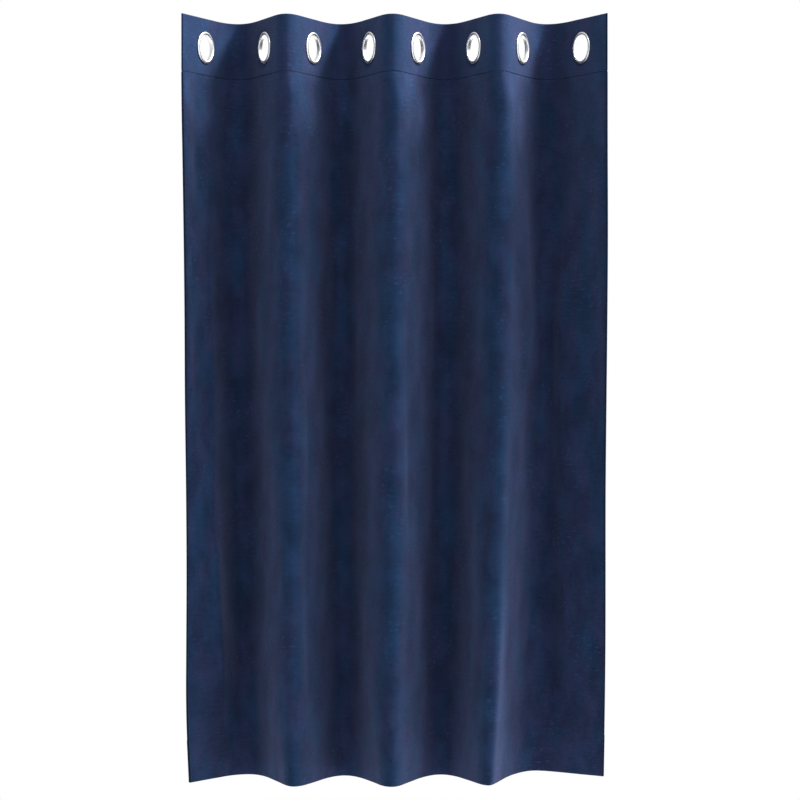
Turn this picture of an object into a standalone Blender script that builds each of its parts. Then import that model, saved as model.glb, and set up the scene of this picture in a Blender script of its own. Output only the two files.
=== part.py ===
"""Velvet curtain panel with an eyelet heading, hanging in soft folds.

The cloth is one long S-shaped sheet. It runs straight through each eyelet and turns round in a soft bend
between two eyelets, so its folds stand alternately near the viewer (-Y) and far from the viewer (+Y).

Frame: metres, +Z up, +X to the right, the front of the curtain faces -Y.
Origin: the middle of the top edge, on the line that a rod through the eyelets would follow.
"""

import math
from collections import namedtuple

import bmesh
import bpy
from mathutils import Matrix, Vector

MM = 0.001

# Cloth
DROP = 1370 * MM
PANEL_THICKNESS = 2.4 * MM
HEADING_THICKNESS = 3.0 * MM
HEADING_HEIGHT = 102 * MM
HEADING_OVERHANG = 1.0 * MM
SEAM_GAP = 0.3 * MM

# Each fold line, at the heading and at the hem. x and y are its place in millimetres. The two bends are the
# shares of the flank on its left and on its right that turn round it, and the rest of each flank is straight.
# rise is how far the hem is lifted there, in millimetres. The first and last rows are the two side edges.
Station = namedtuple("Station", "x y bend_left bend_right rise")
Fold = namedtuple("Fold", "name top hem")
FOLDS = (
    Fold("left_edge", Station(-377.7, -74.0, 0.00, 0.00, 0.0), Station(-366.0, -29.0, 0.00, 0.00, 0.0)),
    Fold("far_fold_1", Station(-284.0, 69.5, 0.43, 0.42, 0.0), Station(-265.0, 81.0, 0.43, 0.55, 0.0)),
    Fold("near_fold_1", Station(-190.5, -69.0, 0.22, 0.22, 0.0), Station(-177.0, -77.5, 0.20, 0.25, 0.0)),
    Fold("far_fold_2", Station(-96.5, 69.5, 0.38, 0.42, 0.0), Station(-89.0, 64.5, 0.40, 0.45, 0.0)),
    Fold("near_fold_2", Station(-2.0, -69.0, 0.22, 0.22, 0.0), Station(-3.5, -81.0, 0.25, 0.22, 0.0)),
    Fold("far_fold_3", Station(93.0, 69.5, 0.38, 0.42, 0.0), Station(86.5, 76.0, 0.52, 0.48, 0.0)),
    Fold("near_fold_3", Station(187.0, -69.0, 0.22, 0.22, 0.0), Station(167.0, -60.0, 0.22, 0.12, 0.0)),
    Fold("far_fold_4", Station(278.5, 69.5, 0.38, 0.43, 0.0), Station(258.5, 100.0, 0.74, 0.25, 4.0)),
    Fold("right_edge", Station(377.7, -76.0, 0.00, 0.00, 0.0), Station(378.0, 15.0, 0.00, 0.00, 6.0)),
)

# How late a line moves from its place at the heading to its place at the hem. 1 is evenly all the way down,
# and more is mostly near the hem. BELLY is how much deeper the folds stand half-way down.
FOLD_DRIFT = 2.5
EDGE_DRIFT = 1.0
BELLY = 0.045

# Fineness of the cloth: columns in each bend, and rows from the heading to the hem
BEND_STEPS = 6
PANEL_ROWS = 12
SHARP_ANGLE = math.radians(35)

# Eyelets: a front half with a hub through the cloth, and a washer behind it
EYELET_X = (-339.5, -230.5, -145.8, -42.2, 42.2, 145.8, 230.5, 339.5)
EYELET_BELOW_TOP = 52.5 * MM
EYELET_OUTER_RADIUS = 28.9 * MM
EYELET_BORE_RADIUS = 23.2 * MM
HUB_WALL = 1.1 * MM
FLANGE_HEIGHT = 2.4 * MM
FLANGE_EDGE = 1.0 * MM
FLANGE_BEVEL = 0.9 * MM
BORE_ROUNDING = 1.2 * MM
CLEARANCE = 0.3 * MM
HOLE_CLEARANCE = 0.35 * MM
EYELET_SIDES = 24
CUTTER_LENGTH = 20 * MM

# Finishes: colour, roughness, metallic
VELVET = ("velvet", (0.016, 0.030, 0.085, 1.0), 0.85, 0.0)
HEADING_VELVET = ("heading_velvet", (0.020, 0.036, 0.098, 1.0), 0.85, 0.0)
SATIN_METAL = ("satin_metal", (0.80, 0.81, 0.83, 1.0), 0.28, 1.0)


def lerp(start, end, share):
    """Value between start and end."""
    return start + (end - start) * share


def clear_scene():
    """Remove every object, so that the script starts from an empty scene."""
    for obj in list(bpy.data.objects):
        bpy.data.objects.remove(obj, do_unlink=True)


def make_material(finish):
    """Principled material from a row of name, colour, roughness and metallic."""
    name, colour, roughness, metallic = finish
    material = bpy.data.materials.new(name)
    material.use_nodes = True
    shader = material.node_tree.nodes["Principled BSDF"]
    shader.inputs["Base Color"].default_value = colour
    shader.inputs["Roughness"].default_value = roughness
    shader.inputs["Metallic"].default_value = metallic
    material.diffuse_color = colour
    return material


def add_object(name, mesh, material):
    """Put a mesh into the scene under its node's name, shaded smooth but for its sharp edges."""
    mesh.materials.clear()
    mesh.materials.append(material)
    mesh.shade_smooth()
    mesh.set_sharp_from_angle(angle=SHARP_ANGLE)
    obj = bpy.data.objects.new(name, mesh)
    bpy.context.scene.collection.objects.link(obj)
    return obj


# The folded line of the cloth, seen from above

def fold_station(fold, drop_share):
    """Station of a fold line at a height, 0 at the heading and 1 at the hem, in metres.

    Between the stiff heading and the hem the folds stand a little deeper.
    """
    drift = drop_share ** (EDGE_DRIFT if fold.name.endswith("edge") else FOLD_DRIFT)
    x, y, bend_left, bend_right, rise = (lerp(top, hem, drift) for top, hem in zip(fold.top, fold.hem))
    belly = 1.0 + BELLY * math.sin(math.pi * drop_share)
    return Station(x * MM, y * belly * MM, bend_left, bend_right, rise * MM)


def flank_rise(share, bend_in, bend_out):
    """How far a flank has come from one fold to the next: a round bend, a straight run, a round bend."""
    slope = 2.0 / (2.0 - bend_in - bend_out)
    if share < bend_in:
        return slope * share ** 2 / (2.0 * bend_in)
    if share > 1.0 - bend_out:
        return 1.0 - slope * (1.0 - share) ** 2 / (2.0 * bend_out)
    return slope * (share - bend_in / 2.0)


def flank_shares(bend_in, bend_out):
    """Sideways shares of a flank where the cloth gets a column: more in its bends than in its straight."""
    into = [bend_in * step / BEND_STEPS for step in range(BEND_STEPS)] if bend_in else [0.0]
    out = [1.0 - bend_out * step / BEND_STEPS for step in range(BEND_STEPS)] if bend_out else [1.0]
    straight = [bend_in] if bend_in else []
    straight += [1.0 - bend_out] if bend_out else []
    return into + straight + out[::-1]


def section(drop_share):
    """Middle line of the cloth at a height, as (x, y) points from the left edge to the right edge."""
    stations = [fold_station(fold, drop_share) for fold in FOLDS]
    points = [(stations[0].x, stations[0].y)]
    for start, end in zip(stations, stations[1:]):
        for share in flank_shares(start.bend_right, end.bend_left)[1:]:
            rise = flank_rise(share, start.bend_right, end.bend_left)
            points.append((lerp(start.x, end.x, share), lerp(start.y, end.y, rise)))
    return points


def directions(points):
    """Unit direction of the line at each of its points."""
    result = []
    for index in range(len(points)):
        x0, y0 = points[max(index - 1, 0)]
        x1, y1 = points[min(index + 1, len(points) - 1)]
        length = math.hypot(x1 - x0, y1 - y0)
        result.append(((x1 - x0) / length, (y1 - y0) / length))
    return result


def offset_line(points, distance):
    """The same line moved sideways towards the front, keeping its straight parts parallel."""
    along = [(b[0] - a[0], b[1] - a[1]) for a, b in zip(points, points[1:])]
    normals = [(dy / math.hypot(dx, dy), -dx / math.hypot(dx, dy)) for dx, dy in along]
    result = []
    for index, (x, y) in enumerate(points):
        before = normals[max(index - 1, 0)]
        after = normals[min(index, len(normals) - 1)]
        sum_x, sum_y = before[0] + after[0], before[1] + after[1]
        scale = 2.0 / (sum_x ** 2 + sum_y ** 2)
        result.append((x + sum_x * scale * distance, y + sum_y * scale * distance))
    return result


def widened(points, overhang):
    """The line with its two ends moved outwards along the cloth."""
    along = directions(points)
    first = (points[0][0] - along[0][0] * overhang, points[0][1] - along[0][1] * overhang)
    last = (points[-1][0] + along[-1][0] * overhang, points[-1][1] + along[-1][1] * overhang)
    return [first] + points[1:-1] + [last]


# Cloth solids

def cloth_mesh(name, lines, thickness):
    """Closed sheet through a stack of lines.

    Each line is a list of (x, y, z) points, and the lines run from the top of the sheet to its bottom.
    """
    bm = bmesh.new()
    sides = []
    for distance in (thickness / 2.0, -thickness / 2.0):
        grid = []
        for line in lines:
            moved = offset_line([(x, y) for x, y, _ in line], distance)
            grid.append([bm.verts.new((x, y, point[2])) for (x, y), point in zip(moved, line)])
        sides.append(grid)
    front, back = sides
    rows, columns = len(lines), len(lines[0])
    for row in range(rows - 1):
        for column in range(columns - 1):
            for grid, flip in ((front, False), (back, True)):
                corners = [grid[row][column], grid[row + 1][column],
                           grid[row + 1][column + 1], grid[row][column + 1]]
                bm.faces.new(reversed(corners) if flip else corners)
        for column, flip in ((0, True), (columns - 1, False)):
            corners = [front[row][column], front[row + 1][column], back[row + 1][column], back[row][column]]
            bm.faces.new(reversed(corners) if flip else corners)
    for column in range(columns - 1):
        for row, flip in ((0, False), (rows - 1, True)):
            corners = [front[row][column], front[row][column + 1], back[row][column + 1], back[row][column]]
            bm.faces.new(reversed(corners) if flip else corners)
    bmesh.ops.recalc_face_normals(bm, faces=bm.faces)
    mesh = bpy.data.meshes.new(name)
    bm.to_mesh(mesh)
    bm.free()
    return mesh


def hem_rises():
    """How far the hem is lifted at each column, from the fold lines on either side of it."""
    stations = [fold_station(fold, 1.0) for fold in FOLDS]
    rises = [stations[0].rise]
    for start, end in zip(stations, stations[1:]):
        for share in flank_shares(start.bend_right, end.bend_left)[1:]:
            rises.append(lerp(start.rise, end.rise, share))
    return rises


def build_panel(material):
    """The hanging cloth below the heading, down to its hem."""
    top = -HEADING_HEIGHT - SEAM_GAP
    rises = hem_rises()
    lines = []
    for row in range(PANEL_ROWS + 1):
        share = row / PANEL_ROWS
        lines.append([(x, y, lerp(top, -DROP + rise, share)) for (x, y), rise in zip(section(share), rises)])
    return add_object("panel", cloth_mesh("panel", lines, PANEL_THICKNESS), material)


def build_heading(material, eyelets):
    """The stiff strip along the top edge, with a round hole for each eyelet."""
    line = widened(section(0.0), HEADING_OVERHANG)
    lines = [[(x, y, z) for x, y in line] for z in (0.0, -HEADING_HEIGHT)]
    heading = add_object("heading", cloth_mesh("heading", lines, HEADING_THICKNESS), material)
    cut = heading.modifiers.new("eyelet_holes", "BOOLEAN")
    cut.operation = "DIFFERENCE"
    cut.solver = "EXACT"
    cut.object = build_hole_cutter(eyelets)
    return heading


def build_hole_cutter(eyelets):
    """Round bars, one across the heading at each eyelet."""
    radius = EYELET_BORE_RADIUS + HUB_WALL + HOLE_CLEARANCE
    bm = bmesh.new()
    for x, y, angle in eyelets:
        place = Matrix.Translation((x, y, -EYELET_BELOW_TOP)) @ Matrix.Rotation(angle, 4, "Z")
        add_bar(bm, radius, CUTTER_LENGTH, place)
    mesh = bpy.data.meshes.new("hole_cutter")
    bm.to_mesh(mesh)
    bm.free()
    cutter = bpy.data.objects.new("hole_cutter", mesh)
    bpy.context.scene.collection.objects.link(cutter)
    cutter.hide_render = True
    cutter.display_type = "WIRE"
    return cutter


def ring_points(radius, depth):
    """Points of a circle about the local Y axis, at a depth along it."""
    turn = 2.0 * math.pi / EYELET_SIDES
    return [(radius * math.cos(turn * i), depth, radius * math.sin(turn * i)) for i in range(EYELET_SIDES)]


def add_bar(bm, radius, length, place):
    """Add a closed round bar along its local Y axis."""
    ends = []
    for depth in (-length / 2.0, length / 2.0):
        ends.append([bm.verts.new(place @ Vector(point)) for point in ring_points(radius, depth)])
    near, far = ends
    bm.faces.new(near)
    bm.faces.new(reversed(far))
    for i in range(EYELET_SIDES):
        j = (i + 1) % EYELET_SIDES
        bm.faces.new((near[j], near[i], far[i], far[j]))


# Eyelets

def eyelet_places():
    """Each eyelet's (x, y, angle): its centre on the heading's middle line and the cloth's direction."""
    line = section(0.0)
    places = []
    for x in (value * MM for value in EYELET_X):
        for (x0, y0), (x1, y1) in zip(line, line[1:]):
            if x0 <= x <= x1:
                y = lerp(y0, y1, (x - x0) / (x1 - x0))
                places.append((x, y, math.atan2(y1 - y0, x1 - x0)))
                break
    return places


def turned_mesh(name, profile):
    """Ring turned about the local Y axis from a closed profile of (radius, height towards the front)."""
    bm = bmesh.new()
    loops = [[bm.verts.new(point) for point in ring_points(radius, -height)] for radius, height in profile]
    for loop, next_loop in zip(loops, loops[1:] + loops[:1]):
        for i in range(EYELET_SIDES):
            j = (i + 1) % EYELET_SIDES
            bm.faces.new((loop[i], loop[j], next_loop[j], next_loop[i]))
    bmesh.ops.recalc_face_normals(bm, faces=bm.faces)
    mesh = bpy.data.meshes.new(name)
    bm.to_mesh(mesh)
    bm.free()
    return mesh


def flange_profile(base):
    """The rounded top of a flange, from its bore mouth to its outer edge, as (radius, height)."""
    crown = base + FLANGE_HEIGHT
    return [
        (EYELET_BORE_RADIUS, crown - BORE_ROUNDING - FLANGE_BEVEL),
        (EYELET_BORE_RADIUS + BORE_ROUNDING, crown - FLANGE_BEVEL / 2.0),
        (lerp(EYELET_BORE_RADIUS, EYELET_OUTER_RADIUS, 0.5), crown),
        (EYELET_OUTER_RADIUS - FLANGE_BEVEL, crown - FLANGE_BEVEL / 2.0),
        (EYELET_OUTER_RADIUS, base + FLANGE_EDGE),
        (EYELET_OUTER_RADIUS, base),
    ]


def front_profile():
    """Front half: its flange, and the hub that reaches through the cloth to the washer."""
    base = HEADING_THICKNESS / 2.0 + CLEARANCE
    hub_radius = EYELET_BORE_RADIUS + HUB_WALL
    hub_end = -HEADING_THICKNESS / 2.0
    hub = [(hub_radius, base), (hub_radius, hub_end), (EYELET_BORE_RADIUS, hub_end)]
    return flange_profile(base) + hub


def back_profile():
    """Back half: a washer with the same rounded face."""
    base = HEADING_THICKNESS / 2.0 + CLEARANCE
    return flange_profile(base) + [(EYELET_BORE_RADIUS, base)]


def build_eyelets(material, eyelets):
    """A front and a back half at each place. The back half is turned round to face backwards."""
    front = turned_mesh("eyelet_front", front_profile())
    back = turned_mesh("eyelet_back", back_profile())
    for number, (x, y, angle) in enumerate(eyelets, start=1):
        for kind, mesh, turn in (("front", front, 0.0), ("back", back, math.pi)):
            half = add_object(f"eyelet_{kind}_{number}", mesh, material)
            half.location = (x, y, -EYELET_BELOW_TOP)
            half.rotation_euler = (0.0, 0.0, angle + turn)


def main():
    """Build the curtain."""
    clear_scene()
    eyelets = eyelet_places()
    build_panel(make_material(VELVET))
    build_heading(make_material(HEADING_VELVET), eyelets)
    build_eyelets(make_material(SATIN_METAL), eyelets)


main()
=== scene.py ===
"""Looks of a velvet curtain panel that hangs from metal eyelets in deep soft folds.

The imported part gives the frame. Each piece of cloth or metal here stands for one of its solids, in the same
place. It adds what the solids leave out: rolled edges, the hems turned to the back, the stitched line under
the heading, soft creases, the pile of the velvet, the woven back and the polish of the eyelets.

Frame: metres, +Z up, +X to the right, the front of the curtain faces -Y. The origin is the middle of the top
edge. Places on the flat cloth are given by arc, the way along the cloth from its left edge, and by height.
"""

import logging
import math
from dataclasses import dataclass
from enum import Enum

import bpy
import numpy as np
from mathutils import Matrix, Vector


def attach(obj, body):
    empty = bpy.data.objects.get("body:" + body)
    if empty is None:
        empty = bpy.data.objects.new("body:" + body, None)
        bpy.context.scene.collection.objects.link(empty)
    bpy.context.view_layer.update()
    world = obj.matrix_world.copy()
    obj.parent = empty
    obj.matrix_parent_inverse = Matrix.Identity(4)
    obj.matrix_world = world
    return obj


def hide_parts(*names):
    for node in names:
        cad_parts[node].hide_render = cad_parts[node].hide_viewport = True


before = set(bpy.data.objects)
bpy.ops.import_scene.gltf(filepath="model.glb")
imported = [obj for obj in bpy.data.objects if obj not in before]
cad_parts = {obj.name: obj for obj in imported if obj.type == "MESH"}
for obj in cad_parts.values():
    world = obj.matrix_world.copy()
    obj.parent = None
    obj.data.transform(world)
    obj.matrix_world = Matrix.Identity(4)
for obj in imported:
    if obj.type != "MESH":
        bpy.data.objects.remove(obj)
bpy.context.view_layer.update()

log = logging.getLogger("curtain")

# Short names of types
Array = np.ndarray
Socket = bpy.types.NodeSocket
Material = bpy.types.Material
Size = tuple[float, float]
Colour = tuple[float, float, float]
Point = tuple[float, float, float]
Row = tuple[float, ...]
Rows = tuple[Row, ...]

MM = 0.001
NOT_ZERO = 1e-9

# Shares of its thickness that the cloth keeps at a rolled edge and at the seam.
EDGE_SHARE = 0.22
SEAM_SHARE = 0.35

# Columns of a fold line's numbers: places to the right and to the back, the two bends, and the rise.
X, Y, BEND_LEFT, BEND_RIGHT, RISE = range(5)

IMAGE_SIDE = 800
SENSOR_WIDTH = 36.0


class Side(Enum):
    """The two faces of the cloth. The value is the sign of the way from the middle of the cloth to it."""

    FRONT = 1.0
    BACK = -1.0


class Half(Enum):
    """The two halves of an eyelet. The value is the turn about +Z that makes the half face its way."""

    FRONT = 0.0
    BACK = math.pi


# Finishes

class NodeSheet:
    """A material's node tree, with short calls that add and join its nodes."""

    def __init__(self, name: str) -> None:
        """Start a material with one principled shader.

        Args:
            name: Name of the material.
        """
        self.material = bpy.data.materials.new(name)
        self.material.use_nodes = True
        self.nodes = self.material.node_tree.nodes
        self.links = self.material.node_tree.links
        self.shader = self.nodes["Principled BSDF"]

    def join(self, source: Socket, target: Socket) -> None:
        """Join two sockets."""
        self.links.new(source, target)

    def mapped(self, space: str, scale: Point, turn: float = 0.0) -> Socket:
        """Scaled and turned coordinates.

        Args:
            space: Blender's name of the coordinates, such as UV.
            scale: Units in one metre, along each axis.
            turn: Turn about the third axis, in radians.

        Returns:
            The vector output.
        """
        place = self.nodes.new("ShaderNodeTexCoord")
        mapping = self.nodes.new("ShaderNodeMapping")
        mapping.inputs["Rotation"].default_value = (0.0, 0.0, turn)
        mapping.inputs["Scale"].default_value = scale
        self.join(place.outputs[space], mapping.inputs["Vector"])
        return mapping.outputs["Vector"]

    def in_piece(self, scale: Point) -> Socket:
        """Coordinates in the solid piece, scaled along each axis."""
        return self.mapped("Object", scale)

    def flat_cloth(self, across: float, down: float, turn: float = 0.0) -> Socket:
        """Coordinates on the flat cloth, with a given size of one repeat.

        Args:
            across: Length along the cloth that becomes one unit, in metres.
            down: Length down the cloth that becomes one unit, in metres.
            turn: Turn of the pattern on the cloth, in radians.

        Returns:
            The vector output.
        """
        return self.mapped("UV", (1.0 / across, 1.0 / down, 1.0), turn)

    def noise(self, vector: Socket, detail: float = 2.0, roughness: float = 0.5) -> Socket:
        """Soft noise over coordinates.

        Args:
            vector: Coordinates in which one unit is one patch of the noise.
            detail: Number of finer layers.
            roughness: Strength of the finer layers.

        Returns:
            The value output, about 0.5 on average.
        """
        node = self.nodes.new("ShaderNodeTexNoise")
        node.inputs["Scale"].default_value = 1.0
        node.inputs["Detail"].default_value = detail
        node.inputs["Roughness"].default_value = roughness
        self.join(vector, node.inputs["Vector"])
        return node.outputs["Fac"]

    def spread(self, value: Socket, low: float, high: float, to_low: float, to_high: float) -> Socket:
        """Map one range of a value smoothly onto another.

        Args:
            value: The value.
            low: Value that becomes to_low.
            high: Value that becomes to_high.
            to_low: Result at and below low.
            to_high: Result at and above high.

        Returns:
            The mapped value output.
        """
        node = self.nodes.new("ShaderNodeMapRange")
        node.interpolation_type = "SMOOTHSTEP"
        limits = {"From Min": low, "From Max": high, "To Min": to_low, "To Max": to_high}
        for name, number in limits.items():
            node.inputs[name].default_value = number
        self.join(value, node.inputs["Value"])
        return node.outputs["Result"]

    def maths(self, kind: str, first: Socket, second: Socket) -> Socket:
        """One arithmetic step.

        Args:
            kind: Blender's name of the step, such as MULTIPLY.
            first: Left value.
            second: Right value.

        Returns:
            The result output.
        """
        node = self.nodes.new("ShaderNodeMath")
        node.operation = kind
        self.join(first, node.inputs[0])
        self.join(second, node.inputs[1])
        return node.outputs["Value"]

    def total(self, *values: Socket) -> Socket:
        """Sum of several values.

        Args:
            values: The values, which are added from the first to the last.

        Returns:
            The sum's output.
        """
        result = values[0]
        for value in values[1:]:
            result = self.maths("ADD", result, value)
        return result

    def blend_colours(self, share: Socket, first: Socket | Colour, second: Socket | Colour) -> Socket:
        """Colour between two.

        Args:
            share: 0 for the first and 1 for the second.
            first: A colour output, or linear red, green and blue.
            second: A colour output, or linear red, green and blue.

        Returns:
            The colour output.
        """
        node = self.nodes.new("ShaderNodeMix")
        node.data_type = "RGBA"
        for colour, target in ((first, node.inputs[6]), (second, node.inputs[7])):
            if isinstance(colour, Socket):
                self.join(colour, target)
            else:
                target.default_value = (*colour, 1.0)
        self.join(share, node.inputs[0])
        return node.outputs[2]

    def paint(self, colour: Socket) -> None:
        """Give the shader its colour."""
        self.join(colour, self.shader.inputs["Base Color"])

    def roughen(self, roughness: Socket) -> None:
        """Give the shader its roughness."""
        self.join(roughness, self.shader.inputs["Roughness"])

    def relief(self, steps: list[tuple[Socket, float, float]]) -> None:
        """Give the shader small relief from several height maps.

        Args:
            steps: Rows of height output, its depth in metres, and its strength.
        """
        normal = None
        for height, depth, strength in steps:
            node = self.nodes.new("ShaderNodeBump")
            node.inputs["Distance"].default_value = depth
            node.inputs["Strength"].default_value = strength
            self.join(height, node.inputs["Height"])
            if normal is not None:
                self.join(normal, node.inputs["Normal"])
            normal = node.outputs["Normal"]
        self.join(normal, self.shader.inputs["Normal"])

    def set(self, **values: float | Row) -> None:
        """Set numbers and colours on the shader's own sockets, with _ for a space in a socket's name."""
        for name, value in values.items():
            self.shader.inputs[name.replace("_", " ")].default_value = value


@dataclass(frozen=True)
class VelvetFinish:
    """Cut pile velvet.

    Attributes:
        name: Name of the material.
        pile: Mean colour of the pile.
        brush: How much lighter or darker the brushed patches are, as a share.
        crush: Depth of the soft marks from handling, from 0 to 1.
        sheen: Strength of the glow of the pile ends.
        sheen_tint: Colour of that glow.
        violet: Shares of red, green and blue in the random violet patches, and in the painted light tint of
            the hollows.
        blue: Shares of red, green and blue in the random cooler blue patches, and in the painted light tint
            of the ridges.
        patch: Size of the brushed patches, along and down the cloth, in metres.
        streak: Size of the fine streaks across.
        nick: Size of the small nicks in the pile.
        worn: Size of the parts that have more nicks than others.
        tuft: Size of the grain of the pile.
        hue: Size of the violet and blue patches.
        streak_tone: How much lighter or darker the streaks are at full crush, as a share.
        tuft_tone: How much lighter or darker the grain is, as a share.
        light_nick_tone: How much lighter the light nicks are at full crush, as a share.
        dark_nick_tone: How much darker the dark nicks are at full crush, as a share.
    """

    name: str
    pile: Colour
    brush: float
    crush: float
    sheen: float
    sheen_tint: Colour
    violet: Colour = (1.24, 0.94, 0.97)
    blue: Colour = (0.76, 1.06, 1.03)
    patch: Size = (0.050, 0.068)
    streak: Size = (0.045, 0.0042)
    nick: Size = (0.0110, 0.0046)
    worn: Size = (0.060, 0.110)
    tuft: Size = (0.0011, 0.0016)
    hue: Size = (0.045, 0.120)
    streak_tone: float = 0.07
    tuft_tone: float = 0.28
    light_nick_tone: float = 0.80
    dark_nick_tone: float = 0.30

    def shade(self, turn: Colour, strength: float) -> Colour:
        """The pile's colour, turned towards a hue and made lighter or darker."""
        return tuple(strength * part * share for part, share in zip(self.pile, turn))

    def material(self) -> Material:
        """Make the material.

        Returns:
            Velvet with brushed patches, fine streaks, small nicks, pile grain, and a painted light tint:
            violet hollows, blue ridges.
        """
        sheet = NodeSheet(self.name)
        brushed = sheet.noise(sheet.flat_cloth(*self.patch), detail=5.0, roughness=0.58)
        streaks = sheet.noise(sheet.flat_cloth(*self.streak, turn=0.05), detail=3.0, roughness=0.6)
        worn = sheet.noise(sheet.flat_cloth(*self.worn), detail=2.0)
        nicks = sheet.noise(sheet.flat_cloth(*self.nick, turn=-0.20), detail=2.0)
        nicks = sheet.total(nicks, sheet.spread(worn, 0.42, 0.62, -0.10, 0.03))
        grain = sheet.noise(sheet.flat_cloth(*self.tuft), detail=2.0, roughness=0.6)
        cool = sheet.noise(sheet.flat_cloth(*self.hue), detail=4.0, roughness=0.55)

        streaked = self.streak_tone * self.crush
        tone = sheet.total(
            sheet.spread(brushed, 0.30, 0.70, 0.5 - self.brush, 0.5 + self.brush),
            sheet.spread(streaks, 0.30, 0.70, -streaked, streaked),
            sheet.spread(grain, 0.30, 0.70, -self.tuft_tone, self.tuft_tone),
            sheet.spread(nicks, 0.60, 0.72, 0.0, self.light_nick_tone * self.crush),
            sheet.spread(nicks, 0.20, 0.32, -self.dark_nick_tone * self.crush, 0.0),
        )
        violet, blue = (
            sheet.blend_colours(tone, self.shade(turn, 0.5), self.shade(turn, 1.5))
            for turn in (self.violet, self.blue)
        )
        # Painted light tint: cloth further back is pushed to violet, cloth further forward to blue.
        place = sheet.nodes.new("ShaderNodeSeparateXYZ")
        sheet.join(sheet.in_piece((1.0, 1.0, 1.0)), place.inputs["Vector"])
        hollow_light_tint = sheet.spread(place.outputs["Y"], -0.06, 0.06, 0.25, -0.25)
        share = sheet.total(sheet.spread(cool, 0.33, 0.67, -0.1, 1.1), hollow_light_tint)
        sheet.paint(sheet.blend_colours(share, violet, blue))
        sheet.roughen(sheet.spread(brushed, 0.30, 0.70, 1.0, 0.9))
        sheet.relief([
            (brushed, 0.0016, 0.45),
            (streaks, 0.0003, 0.5),
            (nicks, 0.0012, 0.6),
            (grain, 0.0003, 0.5),
        ])
        sheet.set(
            Specular_IOR_Level=0.02,
            Sheen_Weight=self.sheen,
            Sheen_Roughness=0.45,
            Sheen_Tint=(*self.sheen_tint, 1.0),
        )
        return sheet.material


@dataclass(frozen=True)
class WovenBackFinish:
    """The plain woven ground of the velvet, seen from behind.

    Attributes:
        name: Name of the material.
        thread: Colour of the raised threads.
        gap: Colour between the threads.
        pitch: Distance between two threads, in metres.
        slub: Size of the thick places in the threads, along and down the cloth, in metres.
        bar: Size of the faint bars across.
    """

    name: str
    thread: Colour
    gap: Colour
    pitch: float
    slub: Size = (0.030, 0.0016)
    bar: Size = (0.400, 0.012)

    def material(self) -> Material:
        """Make the material.

        Returns:
            Matt cloth with a fine plain weave, uneven threads and faint bars across.
        """
        sheet = NodeSheet(self.name)
        waves = []
        for axis in ("X", "Y"):
            node = sheet.nodes.new("ShaderNodeTexWave")
            node.bands_direction = axis
            node.wave_profile = "SIN"
            node.inputs["Scale"].default_value = 0.5
            node.inputs["Distortion"].default_value = 0.6
            node.inputs["Detail"].default_value = 1.0
            sheet.join(sheet.flat_cloth(self.pitch, self.pitch), node.inputs["Vector"])
            waves.append(node.outputs["Fac"])
        weave = sheet.maths("MULTIPLY", waves[0], waves[1])
        slubs = sheet.noise(sheet.flat_cloth(*self.slub), detail=2.0)
        bars = sheet.noise(sheet.flat_cloth(*self.bar), detail=2.0)
        tone = sheet.total(
            weave,
            sheet.spread(slubs, 0.35, 0.65, -0.16, 0.16),
            sheet.spread(bars, 0.35, 0.65, -0.12, 0.12),
        )
        sheet.paint(sheet.blend_colours(tone, self.gap, self.thread))
        sheet.roughen(sheet.spread(slubs, 0.35, 0.65, 0.92, 0.80))
        sheet.relief([(slubs, 0.0003, 0.4), (weave, 0.0002, 0.6)])
        sheet.set(
            Specular_IOR_Level=0.10,
            Sheen_Weight=0.03,
            Sheen_Roughness=0.6,
            Sheen_Tint=(0.5, 0.6, 1.0, 1.0),
        )
        return sheet.material


@dataclass(frozen=True)
class ThreadFinish:
    """Sewing thread.

    Attributes:
        name: Name of the material.
        colour: Colour of the thread.
        twist: Marks of its twist in one metre.
    """

    name: str
    colour: Colour
    twist: float = 1800.0

    def material(self) -> Material:
        """Make the material.

        Returns:
            Twisted thread with a low shine.
        """
        sheet = NodeSheet(self.name)
        marks = sheet.noise(sheet.in_piece((self.twist, self.twist, self.twist)), detail=1.0)
        darker = tuple(0.6 * part for part in self.colour)
        sheet.paint(sheet.blend_colours(marks, darker, self.colour))
        sheet.roughen(sheet.spread(marks, 0.3, 0.7, 0.65, 0.45))
        sheet.relief([(marks, 0.0001, 0.5)])
        sheet.set(Specular_IOR_Level=0.35)
        return sheet.material


@dataclass(frozen=True)
class SatinNickelFinish:
    """Nickel plate with a satin polish.

    Attributes:
        name: Name of the material.
        colour: Colour of the clean plate.
        dull: Colour where fingers and the rod have dulled it.
        wear: Dulled patches in one metre, along each axis.
        rub: Rub marks in one metre, along each axis.
    """

    name: str
    colour: Colour
    dull: Colour
    wear: Point = (60.0, 60.0, 60.0)
    rub: Point = (2600.0, 2600.0, 420.0)

    def material(self) -> Material:
        """Make the material.

        Returns:
            Bright metal with uneven polish and fine rub marks.
        """
        sheet = NodeSheet(self.name)
        wear = sheet.noise(sheet.in_piece(self.wear), detail=3.0)
        rubs = sheet.noise(sheet.in_piece(self.rub), detail=3.0)
        dulled = sheet.spread(wear, 0.45, 0.70, 0.0, 1.0)
        sheet.paint(sheet.blend_colours(dulled, self.colour, self.dull))
        sheet.roughen(sheet.total(
            sheet.spread(wear, 0.35, 0.70, 0.36, 0.44),
            sheet.spread(rubs, 0.40, 0.75, 0.0, 0.08),
        ))
        sheet.relief([(rubs, 0.00004, 0.35)])
        sheet.set(Metallic=1.0)
        return sheet.material


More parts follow.
